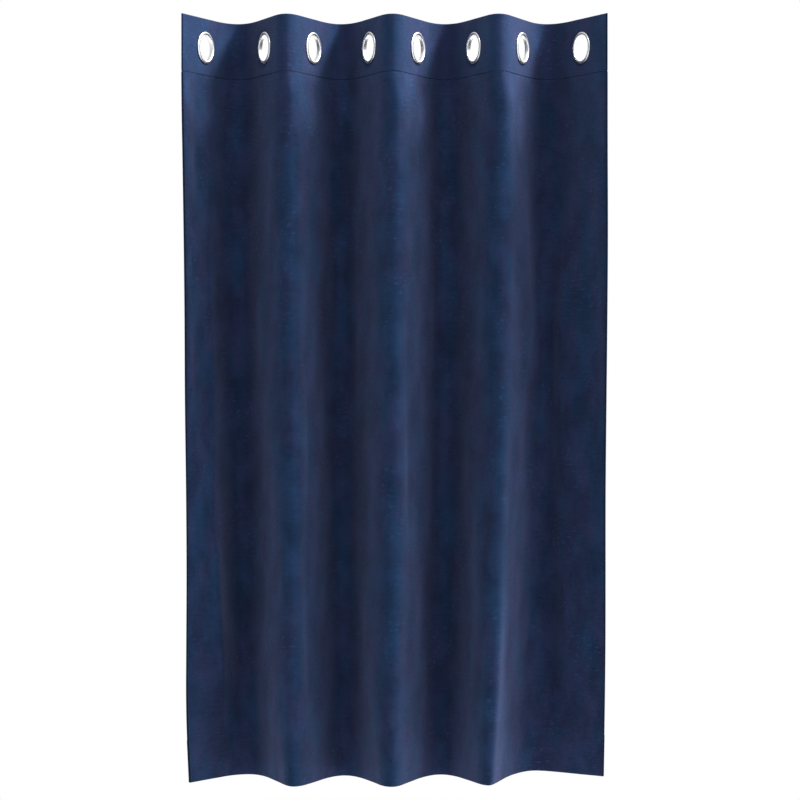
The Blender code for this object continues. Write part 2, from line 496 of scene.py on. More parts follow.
@dataclass(frozen=True)
class PaperFloorFinish:
    """White studio paper.

    Attributes:
        name: Name of the material.
        colour: Colour of the paper.
    """

    name: str
    colour: Colour

    def material(self) -> Material:
        """Make the material.

        Returns:
            Matt white paper with a trace of unevenness.
        """
        sheet = NodeSheet(self.name)
        cloudy = sheet.noise(sheet.in_piece((1.0, 1.0, 1.0)), detail=2.0)
        darker = tuple(0.985 * part for part in self.colour)
        sheet.paint(sheet.blend_colours(cloudy, darker, self.colour))
        sheet.set(Roughness=0.95, Specular_IOR_Level=0.10)
        return sheet.material


# The way the cloth hangs

def smooth_way(at: Array, points: Rows) -> Array:
    """Smooth curve through a few points.

    Args:
        at: Places at which the curve is wanted.
        points: Rows of place and value, with the places in rising order.

    Returns:
        The curve's values.
    """
    place, value = np.array(points).T
    slope = np.gradient(value, place)
    number = np.clip(np.searchsorted(place, at) - 1, 0, len(place) - 2)
    gap = place[number + 1] - place[number]
    share = np.clip((at - place[number]) / gap, 0.0, 1.0)
    done, left = share ** 2, (1.0 - share) ** 2
    start = (1.0 + 2.0 * share) * left * value[number]
    end = done * (3.0 - 2.0 * share) * value[number + 1]
    bend = share * left * slope[number] - done * (1.0 - share) * slope[number + 1]
    return start + end + gap * bend


def front_normals(along: Array) -> Array:
    """Unit directions from the middle of the cloth to its front face.

    Args:
        along: Unit (x, y) directions along the cloth.

    Returns:
        The same array with three coordinates.
    """
    return np.stack([along[..., 1], -along[..., 0], np.zeros(along.shape[:-1])], -1)


def eased(share: Array) -> Array:
    """Shares from 0 to 1 with a soft start and end."""
    inside = np.clip(share, 0.0, 1.0)
    return inside * inside * (3.0 - 2.0 * inside)


def bell(distance: Array, middle: float, reach: float | Array) -> Array:
    """Shares that are 1 at a middle distance and die out softly to both sides over the reach."""
    return np.exp(-(((distance - middle) / reach) ** 2))


@dataclass(frozen=True)
class Station:
    """Where a fold line stands at one height.

    Attributes:
        x: Place to the right, in millimetres.
        y: Place to the back, in millimetres.
        bend_left: Share of the flank on its left that turns round it.
        bend_right: Share of the flank on its right that turns round it.
        rise: How far the hem is lifted there, in millimetres.
    """

    x: float
    y: float
    bend_left: float = 0.0
    bend_right: float = 0.0
    rise: float = 0.0

    def values(self) -> Row:
        """The five numbers in order."""
        return self.x, self.y, self.bend_left, self.bend_right, self.rise


@dataclass(frozen=True)
class FoldLine:
    """A line down the cloth along which it turns, or one of its side edges.

    Attributes:
        name: What it is.
        top: Its place at the heading.
        hem: Its place at the hem.
        wander: What is added on the way, as rows of share of the way down, millimetres to the right, and
            then, where they are needed, millimetres to the back, left bend and right bend.
        drift: How late it moves from the top to the hem. 1 is evenly, and more is mostly near the hem.
    """

    name: str
    top: Station
    hem: Station
    wander: Rows = ((0.0, 0.0), (1.0, 0.0))
    drift: float = 2.5


@dataclass(frozen=True)
class Drape:
    """The hanging cloth's middle surface, without its thickness.

    Attributes:
        folds: The fold lines and side edges, from left to right.
        seam: How far below the top edge the strip meets the panel.
        drop: Height of the whole curtain.
        belly: How much deeper the folds stand half-way down.
        fineness: Steps in each flank of the table that gives its length.
    """

    folds: tuple[FoldLine, ...]
    seam: float = 102.15 * MM
    drop: float = 1370.8 * MM
    belly: float = 0.045
    fineness: int = 400

    def stations(self, down: Array) -> Array:
        """Numbers of every fold line at several heights.

        Args:
            down: Shares of the way from the seam to the hem.

        Returns:
            Array of fold, height and number, with lengths in metres.
        """
        rows = []
        for fold in self.folds:
            top, hem = np.array(fold.top.values()), np.array(fold.hem.values())
            numbers = top + (hem - top) * (down[:, None] ** fold.drift)
            for column in range(len(fold.wander[0]) - 1):
                added = tuple((row[0], row[column + 1]) for row in fold.wander)
                numbers[:, column] += smooth_way(down, added)
            numbers[:, Y] *= 1.0 + self.belly * np.sin(math.pi * down)
            rows.append(numbers * np.array([MM, MM, 1.0, 1.0, MM]))
        return np.array(rows)

    @staticmethod
    def flank_curve(share: Array, bend_in: Array, bend_out: Array) -> tuple[Array, Array]:
        """A flank's way from one fold to the next: a round bend, a straight run and a round bend.

        Args:
            share: Sideways shares of the flank.
            bend_in: Share that the first bend takes.
            bend_out: Share that the second bend takes.

        Returns:
            How far it has come, and how fast it goes there.
        """
        slope = 2.0 / (2.0 - bend_in - bend_out)
        first, second = np.maximum(bend_in, NOT_ZERO), np.maximum(bend_out, NOT_ZERO)
        rise = slope * (share - bend_in / 2.0)
        speed = slope + 0.0 * rise
        in_first, in_second = share < bend_in, share > 1.0 - bend_out
        rise = np.where(in_first, slope * share ** 2 / (2.0 * first), rise)
        speed = np.where(in_first, slope * share / first, speed)
        rise = np.where(in_second, 1.0 - slope * (1.0 - share) ** 2 / (2.0 * second), rise)
        speed = np.where(in_second, slope * (1.0 - share) / second, speed)
        return rise, speed

    def length_table(self) -> tuple[Array, Array]:
        """Lengths along the cloth at the heading.

        Returns:
            Arc, and the flank number plus the share of that flank that it reaches.
        """
        stations = self.stations(np.zeros(1))[:, 0]
        places, turns = [], []
        for number, (start, end) in enumerate(zip(stations, stations[1:])):
            share = np.linspace(0.0, 1.0, self.fineness + 1)
            rise, _ = self.flank_curve(share, start[BEND_RIGHT], end[BEND_LEFT])
            x = start[X] + (end[X] - start[X]) * share
            y = start[Y] + (end[Y] - start[Y]) * rise
            places.append(np.stack([x, y], 1))
            turns.append(number + share)
        points = np.concatenate([places[0]] + [place[1:] for place in places[1:]])
        turn = np.concatenate([turns[0]] + [row[1:] for row in turns[1:]])
        steps = np.hypot(*np.diff(points, axis=0).T)
        return np.concatenate([[0.0], np.cumsum(steps)]), turn

    def width(self) -> float:
        """Length of the cloth from side edge to side edge, in metres."""
        return float(self.length_table()[0][-1])

    def arc_at(self, x: float) -> float:
        """Arc of a place at the heading.

        Args:
            x: Place to the right, in metres.

        Returns:
            Arc in metres.
        """
        arcs, turns = self.length_table()
        stations = self.stations(np.zeros(1))[:, 0]
        number = np.minimum(turns.astype(int), len(stations) - 2)
        start, end = stations[number, X], stations[number + 1, X]
        return float(np.interp(x, start + (end - start) * (turns - number), arcs))

    def surface(self, arc: Array, down: Array) -> tuple[Array, Array, Array]:
        """The middle surface over a grid.

        Args:
            arc: Arcs of the columns. They may reach past the side edges.
            down: Shares of the way from the seam to the hem, one for each row.

        Returns:
            Arrays of row and column: (x, y), the unit (x, y) direction along the cloth, and the hem's rise.
        """
        arcs, turns = self.length_table()
        inside = np.clip(arc, 0.0, arcs[-1])
        turn = np.interp(inside, arcs, turns)
        number = np.minimum(turn.astype(int), len(self.folds) - 2)
        share = turn - number
        stations = self.stations(down)
        start, end = stations[number].transpose(1, 0, 2), stations[number + 1].transpose(1, 0, 2)
        rise, speed = self.flank_curve(share[None, :], start[:, :, BEND_RIGHT], end[:, :, BEND_LEFT])
        step = end - start
        x = start[:, :, X] + step[:, :, X] * share
        y = start[:, :, Y] + step[:, :, Y] * rise
        place = np.stack([x, y], 2)
        along = np.stack([step[:, :, X], step[:, :, Y] * speed], 2)
        along /= np.linalg.norm(along, axis=2, keepdims=True)
        place += along * (arc - inside)[None, :, None]
        return place, along, start[:, :, RISE] + step[:, :, RISE] * share


@dataclass(frozen=True)
class Crease:
    """A soft ridge or trough that runs down the cloth.

    Attributes:
        name: Where it is.
        path: Its (x, z) points from the upper end down, in millimetres, seen from the front.
        height: How far it stands towards the front, in millimetres. A trough is less than 0.
        left: How far it reaches to the left along the cloth, in millimetres.
        right: How far it reaches to the right along the cloth, in millimetres.
        fade: Length over which each end dies out, in millimetres.
        least_slant: Smallest slant that still widens it, where the cloth runs straight to the back.
    """

    name: str
    path: Rows
    height: float
    left: float
    right: float
    fade: float
    least_slant: float = 0.3

    def lift(self, x: Array, z: Array, slant: Array) -> Array:
        """Height of the crease over a grid.

        Args:
            x: Places to the right, in metres.
            z: Heights, in metres.
            slant: Sideways part of the unit direction along the cloth.

        Returns:
            Lift towards the front, in metres.
        """
        path = np.array(self.path) * MM
        middle = smooth_way(-z, tuple(zip(-path[:, 1], path[:, 0])))
        off = (x - middle) / np.maximum(slant, self.least_slant)
        reach = np.where(off < 0.0, self.left, self.right) * MM
        fade = self.fade * MM
        ends = eased((path[0, 1] - z) / fade) * eased((z - path[-1, 1]) / fade)
        return self.height * MM * ends * bell(off, 0.0, reach)


@dataclass(frozen=True)
class Sway:
    """The cloth's slow unevenness, as a few long waves.

    Attributes:
        waves: Rows of height in millimetres, wave length across and down in millimetres, and start.
        settle: Share of the way down over which they grow.
        calm: Share of the way down from which they die down again.
        calm_hem: Share of them that is left at the hem.
    """

    waves: Rows = (
        (0.9, 310.0, 900.0, 0.4),
        (0.7, 132.0, 640.0, 1.9),
        (0.4, 83.0, 410.0, 4.1),
        (0.22, -57.0, 300.0, 2.6),
    )
    settle: float = 0.30
    calm: float = 0.80
    calm_hem: float = 0.45

    def lift(self, arc: Array, z: Array, down: Array) -> Array:
        """Height of the waves over a grid.

        Args:
            arc: Arcs, in metres.
            z: Heights, in metres.
            down: Shares of the way from the seam to the hem.

        Returns:
            Lift towards the front, in metres.
        """
        total = np.zeros(np.broadcast(arc, z).shape)
        for height, across, length, start in self.waves:
            waves = arc / (across * MM) + z / (length * MM)
            total += height * MM * np.sin(2.0 * math.pi * waves + start)
        calmed = eased((down - self.calm) / (1.0 - self.calm))
        return total * eased(down / self.settle) * (1.0 - (1.0 - self.calm_hem) * calmed)


@dataclass(frozen=True)
class HangingCloth:
    """The panel's middle surface, with its creases and its slow unevenness.

    Attributes:
        drape: The way the cloth hangs.
        creases: Its soft ridges and troughs.
        sway: Its slow unevenness.
        calm_edge: Distance from a side edge over which creases and unevenness grow.
    """

    drape: Drape
    creases: tuple[Crease, ...]
    sway: Sway = Sway()
    calm_edge: float = 30.0 * MM

    @property
    def length(self) -> float:
        """Height of the panel from the seam to the hem."""
        return self.drape.drop - self.drape.seam

    def middle(self, arcs: Array, belows: Array) -> tuple[Array, Array]:
        """The middle surface over a grid.

        Args:
            arcs: Arcs of the columns.
            belows: Distances of the rows below the seam.

        Returns:
            Points, and the unit directions from them to the front face, as arrays of row and column.
        """
        down = belows / self.length
        place, along, rise = self.drape.surface(arcs, down)
        z = -self.drape.seam - down[:, None] * (self.length - rise)
        lift = self.sway.lift(arcs[None, :], z, down[:, None])
        for crease in self.creases:
            lift = lift + crease.lift(place[:, :, 0], z, along[:, :, 0])
        from_side = np.minimum(arcs, self.drape.width() - arcs)
        lift = lift * eased(from_side / self.calm_edge)[None, :]
        normal = front_normals(along)
        return np.concatenate([place, z[..., None]], 2) + normal * lift[..., None], normal


# Meshes

def smooth_mesh(name: str, points: Array, faces: Array, materials: list[Material]) -> bpy.types.Mesh:
    """Make a mesh with smooth shading.

    Args:
        name: Its name.
        points: Its points.
        faces: Its faces, as rows of point numbers.
        materials: Its material slots.

    Returns:
        The mesh.
    """
    mesh = bpy.data.meshes.new(name)
    mesh.from_pydata(points.tolist(), [], faces.tolist())
    mesh.polygons.foreach_set("use_smooth", np.ones(len(faces), bool))
    mesh.update()
    for material in materials:
        mesh.materials.append(material)
    return mesh


def in_scene(name: str, data: bpy.types.ID) -> bpy.types.Object:
    """Make an object and put it into the scene.

    Args:
        name: Its name.
        data: Its mesh, light or camera.

    Returns:
        The object.
    """
    piece = bpy.data.objects.new(name, data)
    bpy.context.scene.collection.objects.link(piece)
    return piece


@dataclass
class ClothGrid:
    """Two faces of a sheet of cloth over one grid of rows and columns.

    Attributes:
        front: Points of the front face, as an array of row, column and coordinate.
        back: Points of the back face, on the same grid.
        flat: Places on the flat cloth, as an array of row, column and the two lengths.
        keep: Which cells of the grid are cloth.
        front_slot: Material slot of each cell of the front face.
        back_slot: Material slot of each cell of the back face.
        rim_slot: Material slot of the cloth's thickness along its edges.
    """

    front: Array
    back: Array
    flat: Array
    keep: Array
    front_slot: Array
    back_slot: Array
    rim_slot: int

    def edge_pairs(self) -> list[tuple[int, int]]:
        """Find the edges where cloth ends.

        Returns:
            Pairs of grid point numbers, each in the direction that closes the sheet outwards.
        """
        rows, columns = self.front.shape[:2]
        number = np.arange(rows * columns).reshape(rows, columns)
        kept = np.zeros((rows + 1, columns + 1), bool)
        kept[1:-1, 1:-1] = self.keep
        pairs = []
        for before, after, start, end in (
            (kept[:-1, 1:-1], kept[1:, 1:-1], number[:, :-1], number[:, 1:]),
            (kept[1:-1, 1:], kept[1:-1, :-1], number[:-1, :], number[1:, :]),
        ):
            for wanted, other, flip in ((after, before, False), (before, after, True)):
                found = wanted & ~other
                ends = zip(start[found].tolist(), end[found].tolist())
                pairs += [(b, a) if flip else (a, b) for a, b in ends]
        return pairs

    def build(self, name: str, materials: list[Material]) -> bpy.types.Object:
        """Make the closed sheet.

        Args:
            name: Name of the object.
            materials: Its material slots.

        Returns:
            The object.
        """
        rows, columns = self.front.shape[:2]
        count = rows * columns
        number = np.arange(count).reshape(rows, columns)
        cells = np.stack([number[:-1, :-1], number[1:, :-1], number[1:, 1:], number[:-1, 1:]], 2)
        corners = cells[self.keep]
        sides = np.array([(a, b, b + count, a + count) for a, b in self.edge_pairs()])
        faces = np.concatenate([corners, corners[:, ::-1] + count, sides])
        used, faces = np.unique(faces, return_inverse=True)
        faces = faces.reshape(-1, 4)
        points = np.concatenate([self.front.reshape(-1, 3), self.back.reshape(-1, 3)])[used]
        flat = np.concatenate([self.flat.reshape(-1, 2), self.flat.reshape(-1, 2)])[used]
        mesh = smooth_mesh(name, points, faces, materials)
        rim = np.full(len(sides), self.rim_slot)
        slots = np.concatenate([self.front_slot[self.keep], self.back_slot[self.keep], rim])
        mesh.polygons.foreach_set("material_index", slots.astype(np.int32))
        layer = mesh.uv_layers.new(name="flat_cloth")
        layer.data.foreach_set("uv", flat[faces.reshape(-1)].astype(np.float32).reshape(-1))
        return in_scene(name, mesh)


def rounded_share(distance: Array, radius: float, least: float) -> Array:
    """Share of its full thickness that a sheet has near a rounded edge.

    Args:
        distance: Distances from the edge, in metres.
        radius: Radius of the rounding, in metres.
        least: Share that is left at the edge itself.

    Returns:
        Shares from least to 1.
    """
    inside = np.clip(1.0 - distance / radius, 0.0, 1.0)
    return np.maximum(np.sqrt(1.0 - inside ** 2), least)


def cell_middles(values: Array) -> Array:
    """Mean of the four corners of each cell of a grid."""
    return 0.25 * (values[1:, 1:] + values[:-1, 1:] + values[1:, :-1] + values[:-1, :-1])


def fine_and_coarse(length: float, near: Row, far: Row, step: float) -> Array:
    """Places along a length that stand close together near its two ends.

    Args:
        length: The whole length, in metres.
        near: Distances of the first places from the start, in millimetres, from 0 up.
        far: Distances of the last places from the end, in millimetres, from 0 up.
        step: Largest distance between the places in the middle, in metres.

    Returns:
        The places from 0 to the length, in metres.
    """
    first, last = np.array(near) * MM, length - np.array(far[::-1]) * MM
    steps = max(1, math.ceil((last[0] - first[-1]) / step))
    middle = np.linspace(first[-1], last[0], steps + 1)[1:-1]
    return np.concatenate([first, middle, last])


@dataclass(frozen=True)
class SeamRipple:
    """Small gathers that the stitches pull into the cloth beside the seam.

    Attributes:
        height: Their height.
        wave: Length along the cloth for each radian of their wave.
        reach: How far from the seam they have nearly died out.
    """

    height: float
    wave: float
    reach: float

    def lift(self, arc: Array, from_seam: Array) -> Array:
        """Their height at some arcs and distances from the seam."""
        return self.height * np.sin(arc / self.wave) * bell(from_seam, 0.0, self.reach)


@dataclass(frozen=True)
class Stitch:
    """One stitch of sewing thread: a short thick thread that dips into the cloth at both ends.

    Attributes:
        length: Length that shows, in metres.
        thickness: Diameter of the thread, in metres.
        taper: How far the thread gets thinner towards both ends, as a share of its section.
        sunk: Share of the thread's full swell at which it lies in the cloth.
        sides: Sides of the thread.
        rings: Rings along it.
    """

    length: float = 2.9 * MM
    thickness: float = 0.55 * MM
    taper: float = 0.9
    sunk: float = 0.75
    sides: int = 6
    rings: int = 5

    def shape(self) -> tuple[Array, Array]:
        """Points and faces of a stitch along the first axis, with the third axis out of the cloth.

        Returns:
            Points as (along, across, out), and faces of four corners.
        """
        points, faces = [], []
        for ring in range(self.rings):
            share = ring / (self.rings - 1)
            swell = math.sqrt(max(0.0, 1.0 - (2.0 * share - 1.0) ** 2 * self.taper))
            radius = self.thickness / 2.0 * swell
            along = (share - 0.5) * self.length
            out = self.thickness * self.sunk * (swell - self.sunk)
            for side in range(self.sides):
                turn = 2.0 * math.pi * side / self.sides
                points.append((along, radius * math.cos(turn), out + radius * math.sin(turn)))
        for ring in range(self.rings - 1):
            for side in range(self.sides):
                following = (side + 1) % self.sides
                low, high = ring * self.sides, (ring + 1) * self.sides
                faces.append((low + side, low + following, high + following, high + side))
        for ring, flip in ((0, True), (self.rings - 1, False)):
            first = ring * self.sides
            loop = [first + side for side in range(self.sides)]
            for low in range(1, self.sides - 2, 2):
                quad = [loop[0], loop[low], loop[low + 1], loop[low + 2]]
                faces.append(tuple(quad[::-1] if flip else quad))
        return np.array(points), np.array(faces)


@dataclass
class StitchRow:
    """A row of stitches along a line on the cloth.

    Attributes:
        places: Middle of each stitch.
        along: Unit direction of each stitch.
        out: Unit direction out of the cloth at each stitch.
    """

    places: Array
    along: Array
    out: Array


def sew(name: str, rows: list[StitchRow], stitch: Stitch, material: Material) -> bpy.types.Object:
    """Put one stitch at every place of several rows.

    Args:
        name: Name of the object.
        rows: The rows.
        stitch: Shape of one stitch.
        material: Finish of the thread.

    Returns:
        One object with all the stitches.
    """
    shape, faces = stitch.shape()
    points, quads = [], []
    first = 0
    for row in rows:
        across = np.cross(row.out, row.along)
        placed = (
            row.places[:, None, :]
            + row.along[:, None, :] * shape[None, :, 0:1]
            + across[:, None, :] * shape[None, :, 1:2]
            + row.out[:, None, :] * shape[None, :, 2:3]
        )
        starts = first + np.arange(len(row.places)) * len(shape)
        points.append(placed.reshape(-1, 3))
        quads.append((faces[None, :, :] + starts[:, None, None]).reshape(-1, 4))
        first += placed.shape[0] * placed.shape[1]
    return in_scene(name, smooth_mesh(name, np.concatenate(points), np.concatenate(quads), [material]))


# The curtain's pieces

@dataclass(frozen=True)
class EyeletPlace:
    """Where an eyelet sits.

    Attributes:
        number: Its number from the left.
        centre: Its centre, in metres.
        angle: Direction of the cloth there, in radians about +Z.
        arc: Its arc, in metres.
        drop: Its distance below the top edge, in metres.
        radius: Radius of its flange, in metres.
    """

    number: int
    centre: Point
    angle: float
    arc: float
    drop: float
    radius: float


@dataclass(frozen=True)
class Eyelets:
    """The eight round eyelets, each a front half with a hub and a washer behind the cloth.

    Attributes:
        places_x: Place of each to the right, in millimetres.
        below_top: Distance of their centres below the top edge.
        outer_radius: Radius of the flange.
        bore_radius: Radius of the bore.
        hub_wall: Thickness of the hub.
        seat: Distance of the flange from the middle of the cloth.
        height: Height of the flange's crown over its seat.
        crown_out: Distance of the crown from the bore.
        mouth: Depth of the round that leads from the crown into the bore.
        lip: Height of the flange's outer edge.
        bevel: Size of the bevel below the outer edge.
        hub_reach: How far the hub goes back from the middle of the cloth.
        steps: Steps in each round of the flange's section.
        sides: Sides of the rings.
        crease_angle: Angle between two faces, in degrees, from which their edge looks sharp.
    """

    places_x: tuple[float, ...] = (-339.5, -230.5, -145.8, -42.2, 42.2, 145.8, 230.5, 339.5)
    below_top: float = 52.5 * MM
    outer_radius: float = 28.4 * MM
    bore_radius: float = 23.2 * MM
    hub_wall: float = 1.1 * MM
    seat: float = 1.8 * MM
    height: float = 2.4 * MM
    crown_out: float = 2.35 * MM
    mouth: float = 2.1 * MM
    lip: float = 0.7 * MM
    bevel: float = 0.25 * MM
    hub_reach: float = 1.7 * MM
    steps: int = 10
    sides: int = 96
    crease_angle: float = 50.0

    def places(self, drape: Drape) -> list[EyeletPlace]:
        """Find each eyelet's place on the cloth.

        Args:
            drape: The way the cloth hangs.

        Returns:
            The places from left to right.
        """
        found = []
        for number, x in enumerate(self.places_x, start=1):
            arc = drape.arc_at(x * MM)
            place, along, _ = drape.surface(np.array([arc]), np.zeros(1))
            centre = (float(place[0, 0, 0]), float(place[0, 0, 1]), -self.below_top)
            angle = math.atan2(along[0, 0, 1], along[0, 0, 0])
            found.append(EyeletPlace(number, centre, angle, arc, self.below_top, self.outer_radius))
        return found

    def flange(self) -> list[tuple[float, float]]:
        """Rolled top of a flange.

        Returns:
            (radius, height) points from the bore's mouth over the crown to the outer edge.
        """
        crown, middle = self.seat + self.height, self.bore_radius + self.crown_out
        points = []
        for step in range(self.steps):
            turn = math.pi / 2.0 * step / (self.steps - 1)
            across = (middle - self.bore_radius) * math.cos(turn)
            points.append((middle - across, crown - self.mouth * (1.0 - math.sin(turn))))
        lip = self.seat + self.lip
        for step in range(1, self.steps + 1):
            turn = math.pi / 2.0 * step / self.steps
            across = (self.outer_radius - middle) * math.sin(turn)
            points.append((middle + across, lip + (crown - lip) * math.cos(turn)))
        points.append((self.outer_radius, self.seat + self.bevel))
        points.append((self.outer_radius - self.bevel, self.seat))
        return points

    def ring(self, name: str, half: Half, material: Material) -> bpy.types.Mesh:
        """Turn the ring of one half about its own axis.

        Args:
            name: Name of the mesh.
            half: Which half it is.
            material: Its finish.

        Returns:
            The mesh, which faces the front.
        """
        if half is Half.FRONT:
            hub = self.bore_radius + self.hub_wall
            foot = [(hub, self.seat), (hub, -self.hub_reach), (self.bore_radius, -self.hub_reach)]
        else:
            foot = [(self.bore_radius, self.seat)]
        profile = np.array(self.flange() + foot)
        turn = 2.0 * math.pi * np.arange(self.sides) / self.sides
        radius, height = profile[:, None, 0], profile[:, None, 1]
        points = np.stack([radius * np.cos(turn), -height + 0.0 * turn, radius * np.sin(turn)], 2)
        faces = []
        for ring in range(len(profile)):
            low, high = ring * self.sides, (ring + 1) % len(profile) * self.sides
            for side in range(self.sides):
                following = (side + 1) % self.sides
                faces.append((low + side, high + side, high + following, low + following))
        mesh = smooth_mesh(name, points.reshape(-1, 3), np.array(faces), [material])
        mesh.set_sharp_from_angle(angle=math.radians(self.crease_angle))
        return mesh

    def dress(self, places: list[EyeletPlace], finish: SatinNickelFinish) -> int:
        """Put both halves at every place.

        Args:
            places: Where the eyelets sit.
            finish: Their finish.

        Returns:
            Number of pieces made.
        """
        material = finish.material()
        made = 0
        for half in Half:
            kind = half.name.lower()
            for place in places:
                name = f"eyelet_ring_{kind}_{place.number}"
                piece = in_scene(name, self.ring(name, half, material))
                piece.location = place.centre
                piece.rotation_euler = (0.0, 0.0, place.angle + half.value)
                bpy.context.view_layer.update()
                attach(piece, "root")
                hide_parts(f"eyelet_{kind}_{place.number}")
                made += 1
        return made


@dataclass(frozen=True)
class Heading:
    """The stiff strip along the top: cloth turned over a tape, with a hole for each eyelet.

    Attributes:
        half_thickness: Distance of each face from the middle.
        overhang: How far it is wider than the panel at each side.
        roll: Radius of its rolled top and side edges.
        groove: Radius of its edge at the seam.
        hole_radius: Radius of the holes, which the flanges cover.
        pinch: How deep the cloth is pressed in beside a flange.
        pinch_reach: How far from the flange it has risen again.
        puckers: Rows of height as a share of the pinch, number of puckers round an eyelet, and turn from
            one eyelet to the next in radians.
        pucker_start: Distance from the flange over which the puckers grow.
        pucker_reach: How far from the flange they have nearly died out.
        ripple: Gathers beside the seam.
        cell: Largest size of the grid's cells.
        edge_shade_line: Width of the line of darker pile, painted shade, along its side edges.
        seam_shade_line: Width of the line of darker pile, painted shade, along the seam.
    """

    half_thickness: float = 1.5 * MM
    overhang: float = 1.0 * MM
    roll: float = 1.6 * MM
    groove: float = 1.9 * MM
    hole_radius: float = 26.6 * MM
    pinch: float = 0.55 * MM
    pinch_reach: float = 9.0 * MM
    puckers: Rows = ((0.25, 7.0, 1.7), (0.15, 12.0, 2.9))
    pucker_start: float = 3.0 * MM
    pucker_reach: float = 14.0 * MM
    ripple: SeamRipple = SeamRipple(0.10 * MM, 9.0 * MM, 10.0 * MM)
    cell: float = 2.6 * MM
    edge_shade_line: float = 2.0 * MM
    seam_shade_line: float = 0.4 * MM

    def grid_lines(self, drape: Drape) -> tuple[Array, Array]:
        """Places of the grid's lines.

        Args:
            drape: The way the cloth hangs.

        Returns:
            Arcs of the columns, and distances of the rows below the top edge.
        """
        edge = (0.0, 0.15, 0.45, 0.9, 1.5, 2.5, 3.6)
        width = drape.width() + 2.0 * self.overhang
        arcs = fine_and_coarse(width, edge, edge, self.cell) - self.overhang
        return arcs, fine_and_coarse(drape.seam, edge, edge[:-1], self.cell)

    def holes(self, arcs: Array, drops: Array, places: list[EyeletPlace]) -> tuple[Array, Array, Array]:
        """Cut the round holes into the flat grid.

        Args:
            arcs: Arcs of the columns.
            drops: Distances of the rows below the top edge.
            places: Where the eyelets sit.

        Returns:
            Arcs and drops of every grid point, moved onto the holes' rims where they are close to one, and
            which cells stay.
        """
        arc, drop = np.meshgrid(arcs, drops)
        inside = np.zeros(arc.shape, bool)
        for place in places:
            off_x, off_z = arc - place.arc, drop - place.drop
            distance = np.hypot(off_x, off_z)
            near = np.abs(distance - self.hole_radius) < 0.5 * self.cell
            scale = np.where(near, self.hole_radius / np.maximum(distance, NOT_ZERO), 1.0)
            arc = np.where(near, place.arc + off_x * scale, arc)
            drop = np.where(near, place.drop + off_z * scale, drop)
            inside |= (distance < self.hole_radius) & ~near
        gone = inside[:-1, :-1] | inside[1:, :-1] | inside[:-1, 1:] | inside[1:, 1:]
        return arc, drop, ~gone

    def pressed(self, arc: Array, drop: Array, places: list[EyeletPlace]) -> Array:
        """How deep the cloth is pressed in round the flanges, with small puckers that run out from them.

        Args:
            arc: Arcs of the points.
            drop: Their distances below the top edge.
            places: Where the eyelets sit.

        Returns:
            Depths in metres.
        """
        depth = np.zeros(arc.shape)
        for place in places:
            off_x, off_z = arc - place.arc, drop - place.drop
            past = np.maximum(np.hypot(off_x, off_z) - place.radius, 0.0)
            turn = np.arctan2(off_z, off_x)
            pucker = sum(
                height * np.sin(count * turn + place.number * shift)
                for height, count, shift in self.puckers
            )
            fringe = np.minimum(past / self.pucker_start, 1.0) * bell(past, 0.0, self.pucker_reach)
            depth += self.pinch * (bell(past, 0.0, self.pinch_reach) + pucker * fringe)
        return depth

    def dress(
        self,
        drape: Drape,
        places: list[EyeletPlace],
        velvet: Material,
        edge_shade_velvet: Material,
    ) -> bpy.types.Object:
        """Build the strip.

        Args:
            drape: The way the cloth hangs.
            places: Where the eyelets sit.
            velvet: Its finish.
            edge_shade_velvet: Finish of the darker pile that paints the shade along its side edges, seam and
                rim.

        Returns:
            The piece.
        """
        arcs, drops = self.grid_lines(drape)
        arc, drop, keep = self.holes(arcs, drops, places)
        place, along, _ = drape.surface(arc.reshape(-1), np.zeros(1))
        middle = np.concatenate([place.reshape(*arc.shape, 2), -drop[..., None]], 2)
        normal = front_normals(along.reshape(*arc.shape, 2))
        from_side = np.minimum(arc + self.overhang, drape.width() + self.overhang - arc)
        from_seam = drape.seam - drop
        share = rounded_share(from_side, self.roll, EDGE_SHARE)
        share = share * rounded_share(drop, self.roll, EDGE_SHARE)
        share = share * rounded_share(from_seam, self.groove, SEAM_SHARE)
        half = self.half_thickness * share - self.pressed(arc, drop, places)
        front = middle + normal * (half + self.ripple.lift(arc, from_seam))[..., None]
        back = middle - normal * half[..., None]
        side, seam = cell_middles(from_side), cell_middles(from_seam)
        # Cells by the side edges and the seam, and the rim, get darker pile: painted shade of the rolled
        # edges and the groove.
        slots = ((side < self.edge_shade_line) | (seam < self.seam_shade_line)).astype(int)
        grid = ClothGrid(front, back, np.stack([arc, -drop], 2), keep, slots, slots, rim_slot=1)
        piece = grid.build("velvet_heading", [velvet, edge_shade_velvet])
        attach(piece, "root")
        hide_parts("heading")
        return piece


